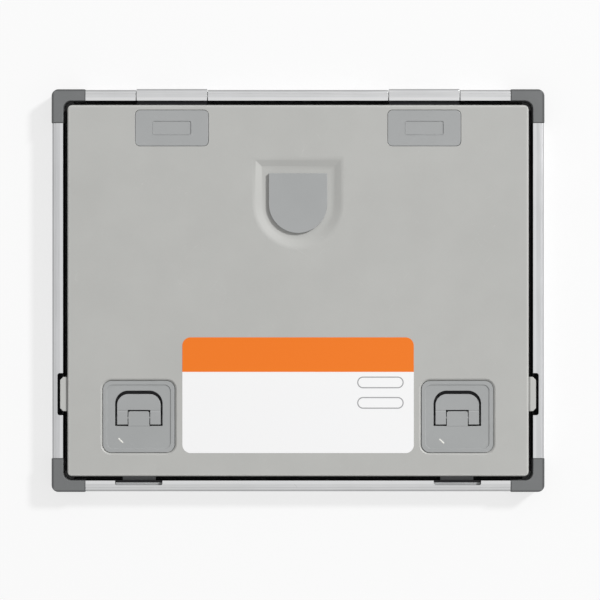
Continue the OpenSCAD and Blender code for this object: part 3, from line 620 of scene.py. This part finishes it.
def foam_pad():
    low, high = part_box("foam_pad")
    size, centre = high - low, (low + high) / 2
    bm = box_between(low, high)
    for axis, cuts in enumerate(FOAM_CUTS):
        cut_along(bm, axis, cuts)
    for v in bm.verts:
        level = abs(v.co.z - centre.z) / (size.z / 2)
        ripple = UNEVEN * noise.noise(v.co / (6 * MM))
        draw = (DRAWN_IN + WAIST * (1 - level * level) + ripple) * MM
        for axis in (0, 1):
            if abs(abs(v.co[axis] - centre[axis]) - size[axis] / 2) < 1e-6:
                v.co[axis] -= math.copysign(draw, v.co[axis] - centre[axis])
    bmesh.ops.recalc_face_normals(bm, faces=bm.faces)
    piece = make_piece("foam_pad_soft", bm, "cover", finishes["foam"])
    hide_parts("foam_pad")
    print("foam pad", [round(c / MM, 1) for c in size], "mm,", len(piece.data.polygons), "faces")


foam_pad()

# %% [markdown]
# ## Felt light seal
# Four strips of black felt lie under the skirt of the cover. Felt has no crisp edge, so each strip
# is a bar with a round top, cut finely and pushed in and out by a noise with a fixed seed. The two
# long strips stop short of the corners, and the two side strips fit between them.
# %% Felt strips
STRIP_WIDTH, STRIP_GAP, STRIP_SHORT = 5.0 * MM, 0.4 * MM, 6 * MM
FUZZ, CROWN = 0.12, 0.30
CUT_EVERY = 1.5 * MM


def felt_strip(low, high):
    """One strip as its own bmesh: a bar, cut finely, rounded and roughened."""
    size, centre = high - low, (low + high) / 2
    bm = box_between(low, high)
    along = 0 if size.x > size.y else 1
    for axis, cuts in ((along, int(size[along] / CUT_EVERY)), (1 - along, 5), (2, 1)):
        cut_along(bm, axis, cuts)
    for v in bm.verts:
        across = abs(v.co[1 - along] - centre[1 - along]) / (size[1 - along] / 2)
        lift = (v.co.z - low.z) / size.z
        fuzz = FUZZ * (1 + noise.noise(v.co / (1.3 * MM)))
        draw = FUZZ * (1 + noise.noise(v.co / (1.9 * MM))) * MM * across
        v.co.z -= lift * (CROWN * across ** 4 + fuzz) * MM
        v.co[1 - along] -= math.copysign(draw, v.co[1 - along] - centre[1 - along])
    return bm

# %% The seal of four strips
def felt_seal():
    low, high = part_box("light_seal")
    inner_low, inner_high = low.y + STRIP_WIDTH + STRIP_GAP, high.y - STRIP_WIDTH - STRIP_GAP
    joined = bmesh.new()
    for start, end in (((low.x + STRIP_SHORT, low.y), (high.x - STRIP_SHORT, low.y + STRIP_WIDTH)),
                       ((low.x + STRIP_SHORT, high.y - STRIP_WIDTH), (high.x - STRIP_SHORT, high.y)),
                       ((low.x, inner_low), (low.x + STRIP_WIDTH, inner_high)),
                       ((high.x - STRIP_WIDTH, inner_low), (high.x, inner_high))):
        strip = felt_strip(Vector((*start, low.z)), Vector((*end, high.z)))
        mesh = bpy.data.meshes.new("strip")
        strip.to_mesh(mesh)
        strip.free()
        joined.from_mesh(mesh)
        bpy.data.meshes.remove(mesh)
    bmesh.ops.recalc_face_normals(joined, faces=joined.faces)
    piece = make_piece("felt_seal", joined, "frame", finishes["felt"], 80)
    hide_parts("light_seal")
    print("felt seal", len(piece.data.polygons), "faces")


felt_seal()


def leaf_spring(side):
    node = "latch_spring_" + side
    piece = make_piece(node + "_leaf", merged_copy(node), "cover", finishes["steel"])
    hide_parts(node)
    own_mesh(piece)


leaf_spring("left")
leaf_spring("right")

# %% [markdown]
# ## Finishes for the other parts
# The other parts keep their construction meshes: pins, screws, plates, bolts and screens are simple
# shapes that are mostly hidden. Each takes the finish of its material slot. Two kinds differ: the
# latches' base plates are painted near black, painted shade for the gap over them, and the strikes
# are a paler plastic than the bolts.
# %% Finishes for the other parts
def finish_of(node):
    if node.startswith("latch_base"):
        return finishes["black_steel"]
    if node.startswith("strike"):
        return finishes["strike_plastic"]
    if slot_of[node] == "rail_aluminium":
        return finishes["rail_x"]
    return finishes[slot_of[node]]


plain = 0
for name, node in frame["nodes"].items():
    node.data.materials.clear()
    node.data.materials.append(finish_of(name))
    plain += not node.hide_render
print("nodes that keep their own mesh", plain)

# %% [markdown]
# ## Lamp
# The photograph has a lamp at the upper right: the insert and the latches throw short shadows to
# the lower left. A small lamp far away gives those, and lights both ends of the cassette alike. A
# lamp's power is worked out, not tried: one of P watts lights a level white surface at a distance
# d by P * sin(elevation) / (pi * d) ** 2, so that its share of the light can be set.
# %% Lamp
AZIMUTH, ELEVATION, DISTANCE = math.radians(36), math.radians(36), 8.0
KEY_SHARE = 0.49
lamp_data = bpy.data.lights.new("key_lamp", "AREA")
lamp_data.shape = "DISK"
lamp_data.size = 1.2
lamp_data.specular_factor = 0.35
lamp_data.energy = KEY_SHARE * math.pi ** 2 * DISTANCE ** 2 / math.sin(ELEVATION)
lamp = bpy.data.objects.new("key_lamp", lamp_data)
bpy.context.scene.collection.objects.link(lamp)
toward = Vector((math.cos(AZIMUTH) * math.cos(ELEVATION), math.sin(AZIMUTH) * math.cos(ELEVATION),
                 math.sin(ELEVATION)))
lamp.location = toward * DISTANCE
lamp.rotation_mode = "QUATERNION"
lamp.rotation_quaternion = toward.to_track_quat("Z", "Y")
print("lamp power in W", round(lamp_data.energy, 1))

# %% [markdown]
# ## World
# A pale even world fills the rest of the light, so that a colour renders about as it is written.
# The camera sees it nearly white, as in the photograph, whatever light it gives the cassette. What
# metal mirrors is brighter high up than near the horizon, as under a softbox, so that a rounded
# rail shows a soft gradient. Light Path tells these rays apart.
# %% World
WORLD_SHARE = 0.485
SKY_COLOUR = (0.96, 0.96, 0.96, 1)
MIRRORED_LOW, MIRRORED_HIGH, HIGH_UP = 0.25, 0.77, 0.85
world = bpy.data.worlds.new("studio")
bpy.context.scene.world = world
air = Nodes(world)
toward_ray = air.node("ShaderNodeTexCoord", out="Generated")
steepness = abs(air.node("ShaderNodeSeparateXYZ", None, {0: toward_ray}, UP))
softbox = air.node("ShaderNodeMapRange", None, {"Value": steepness, "From Max": HIGH_UP,
                                                "To Min": MIRRORED_LOW, "To Max": MIRRORED_HIGH})
seen = air.ray("Is Camera Ray").most(air.ray("Is Transmission Ray"))
strength = (air.ray("Is Glossy Ray") * softbox + seen).most(WORLD_SHARE)
sky = air.node("ShaderNodeBackground", None, {"Color": SKY_COLOUR, "Strength": strength})
air.node("ShaderNodeOutputWorld", None, {"Surface": sky})
print("share of the lamp", KEY_SHARE, "and of the world", WORLD_SHARE)

# %% [markdown]
# ## Floor
# The photograph's ground is white and keeps a faint shadow. So the floor glows for the camera, and
# a part of it stays matt to hold the shadow. Light passes through it to the cassette's underside,
# which would otherwise be black: it is clear from below, to shadow rays, and to rays that come from
# less than about 25 mm away. Metal mirrors it as a grey table, so that a rail's side keeps its tone.
# %% Floor
FLOOR_HALF, FLOOR_DROP = 30, 0.2 * MM
MATT, MATT_MIRRORED, WHITE = (0.9, 0.9, 0.9), (0.50, 0.50, 0.50), (1, 1, 1, 1)
GLOW_SHARE = 0.72
NEARBY = (0.030, 0.020)
floor_mesh = bpy.data.meshes.new("floor")
sheet = bmesh.new()
bmesh.ops.create_grid(sheet, x_segments=1, y_segments=1, size=FLOOR_HALF)
bmesh.ops.translate(sheet, vec=(0, 0, -FLOOR_DROP), verts=sheet.verts)
sheet.to_mesh(floor_mesh)
sheet.free()
floor = bpy.data.objects.new("floor", floor_mesh)
bpy.context.scene.collection.objects.link(floor)
print("floor", 2 * FLOOR_HALF, "m wide")

# %% The floor's material
floor_material = bpy.data.materials.new("floor")
ground = Nodes(floor_material)
camera_ray = ground.ray("Is Camera Ray")
matt_colour = ground.blend(ground.ray("Is Glossy Ray"), MATT, MATT_MIRRORED)
matt = ground.node("ShaderNodeBsdfDiffuse", None, {"Color": matt_colour})
glow = ground.node("ShaderNodeEmission", None, {"Color": WHITE, "Strength": 1.0})
pale = ground.node("ShaderNodeMixShader", None, {0: camera_ray * GLOW_SHARE, 1: matt, 2: glow})
clear = ground.node("ShaderNodeBsdfTransparent")
from_below = ground.node("ShaderNodeNewGeometry", out="Backfacing")
close_by = (1 - camera_ray) * ground.ray("Ray Length").rise(*NEARBY)
passing = from_below.most(ground.ray("Is Shadow Ray")).most(close_by)
surface = ground.node("ShaderNodeMixShader", None, {0: passing, 1: pale, 2: clear})
ground.node("ShaderNodeOutputMaterial", None, {"Surface": surface})
floor_mesh.materials.append(floor_material)
bpy.context.scene.view_settings.view_transform = "Standard"
print("the camera sees the floor", GLOW_SHARE, "glowing")
